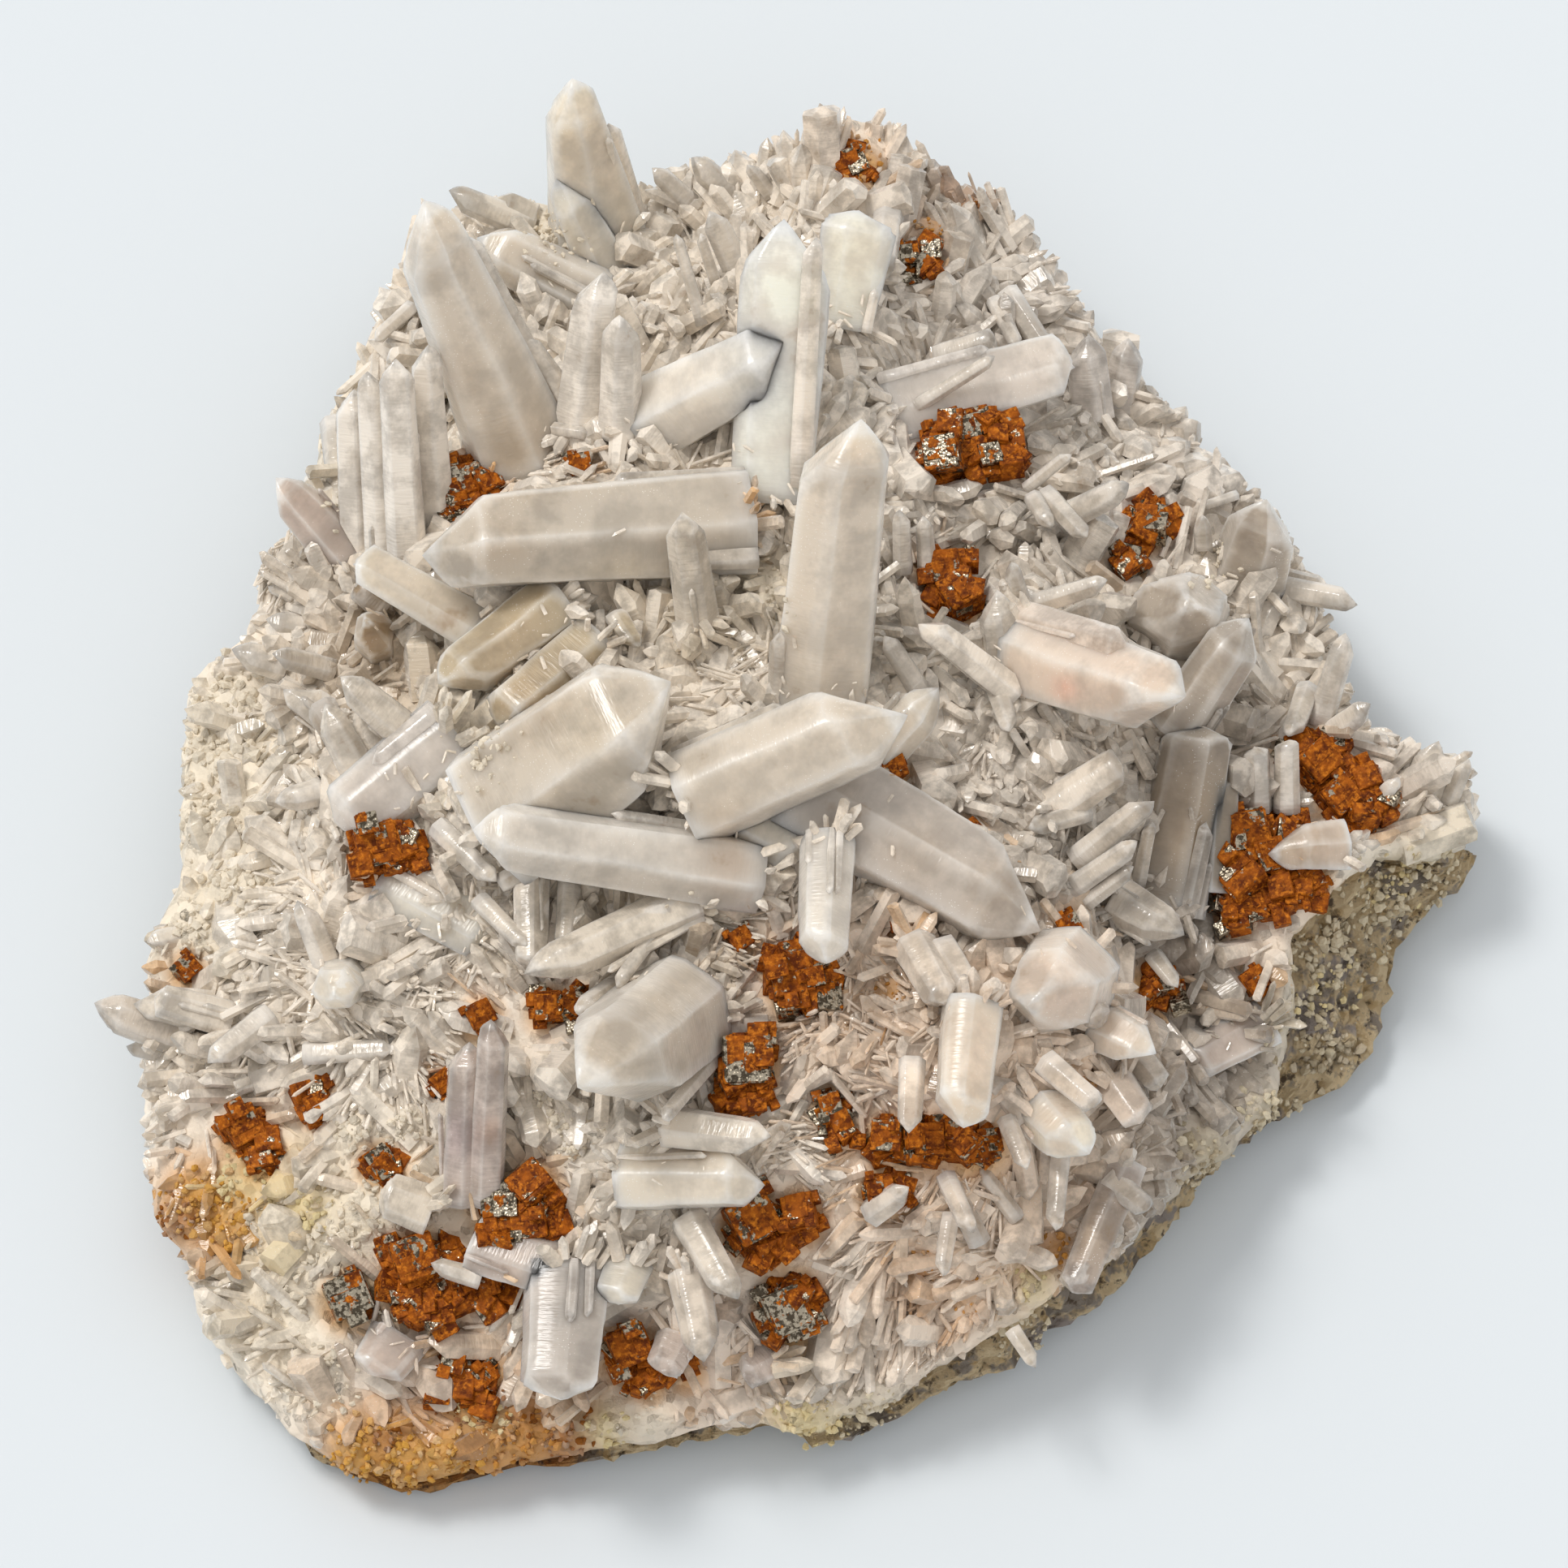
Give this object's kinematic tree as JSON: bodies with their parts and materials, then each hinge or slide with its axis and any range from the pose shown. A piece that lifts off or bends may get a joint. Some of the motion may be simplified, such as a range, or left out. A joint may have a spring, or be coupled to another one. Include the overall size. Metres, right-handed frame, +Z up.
{
  "type": "pyrite on quartz mineral specimen",
  "caption": "Cabinet specimen of milky quartz points on a drusy crust over altered rock, with limonite-stained pyrite cubes in its hollows and a flat cut foot to rest on.",
  "frame": {"origin": "on the flat cut foot of the rock, under the middle of the plate", "axes": "+Z up out of the foot through the crystals; -Y to the viewer; +X to the viewer's right, towards the arm of bare rock"},
  "size_m": [0.1361, 0.1387, 0.0548],
  "materials": {
    "rock": "rough broken altered rock",
    "quartz": "milky to clear quartz, glassy faces",
    "pyrite": "pyrite with bright metallic faces under orange-brown limonite"
  },
  "bodies": {
    "root": {"host_rock": "rock", "pyrite_arm_bead": "pyrite", "pyrite_arm_lower": "pyrite", "pyrite_arm_upper": "pyrite", "pyrite_banded_cube": "pyrite", "pyrite_basin": "pyrite", "pyrite_bead": "pyrite", "pyrite_behind_log": "pyrite", "pyrite_behind_tower": "pyrite", "pyrite_bright_cube": "pyrite", "pyrite_button": "pyrite", "pyrite_clinker": "pyrite", "pyrite_cluster": "pyrite", "pyrite_cluster_foot": "pyrite", "pyrite_column": "pyrite", "pyrite_crown": "pyrite", "pyrite_crown_right": "pyrite", "pyrite_far_right": "pyrite", "pyrite_fore": "pyrite", "pyrite_fore_bead": "pyrite", "pyrite_fore_peppered": "pyrite", "pyrite_fragment": "pyrite", "pyrite_high_cubes": "pyrite", "pyrite_ledge_left": "pyrite", "pyrite_ledge_right": "pyrite", "pyrite_left_cube": "pyrite", "pyrite_left_edge": "pyrite", "pyrite_left_mass": "pyrite", "pyrite_low_mass": "pyrite", "pyrite_low_mirror": "pyrite", "pyrite_lower_left": "pyrite", "pyrite_point_back": "pyrite", "pyrite_right_block": "pyrite", "pyrite_spire_back": "pyrite", "pyrite_spire_foot": "pyrite", "pyrite_striated": "pyrite", "pyrite_stub_side": "pyrite", "pyrite_twin_cubes": "pyrite", "pyrite_under_point": "pyrite", "pyrite_wall": "pyrite", "quartz_cluster": "quartz"}
  },
  "joints": []
}
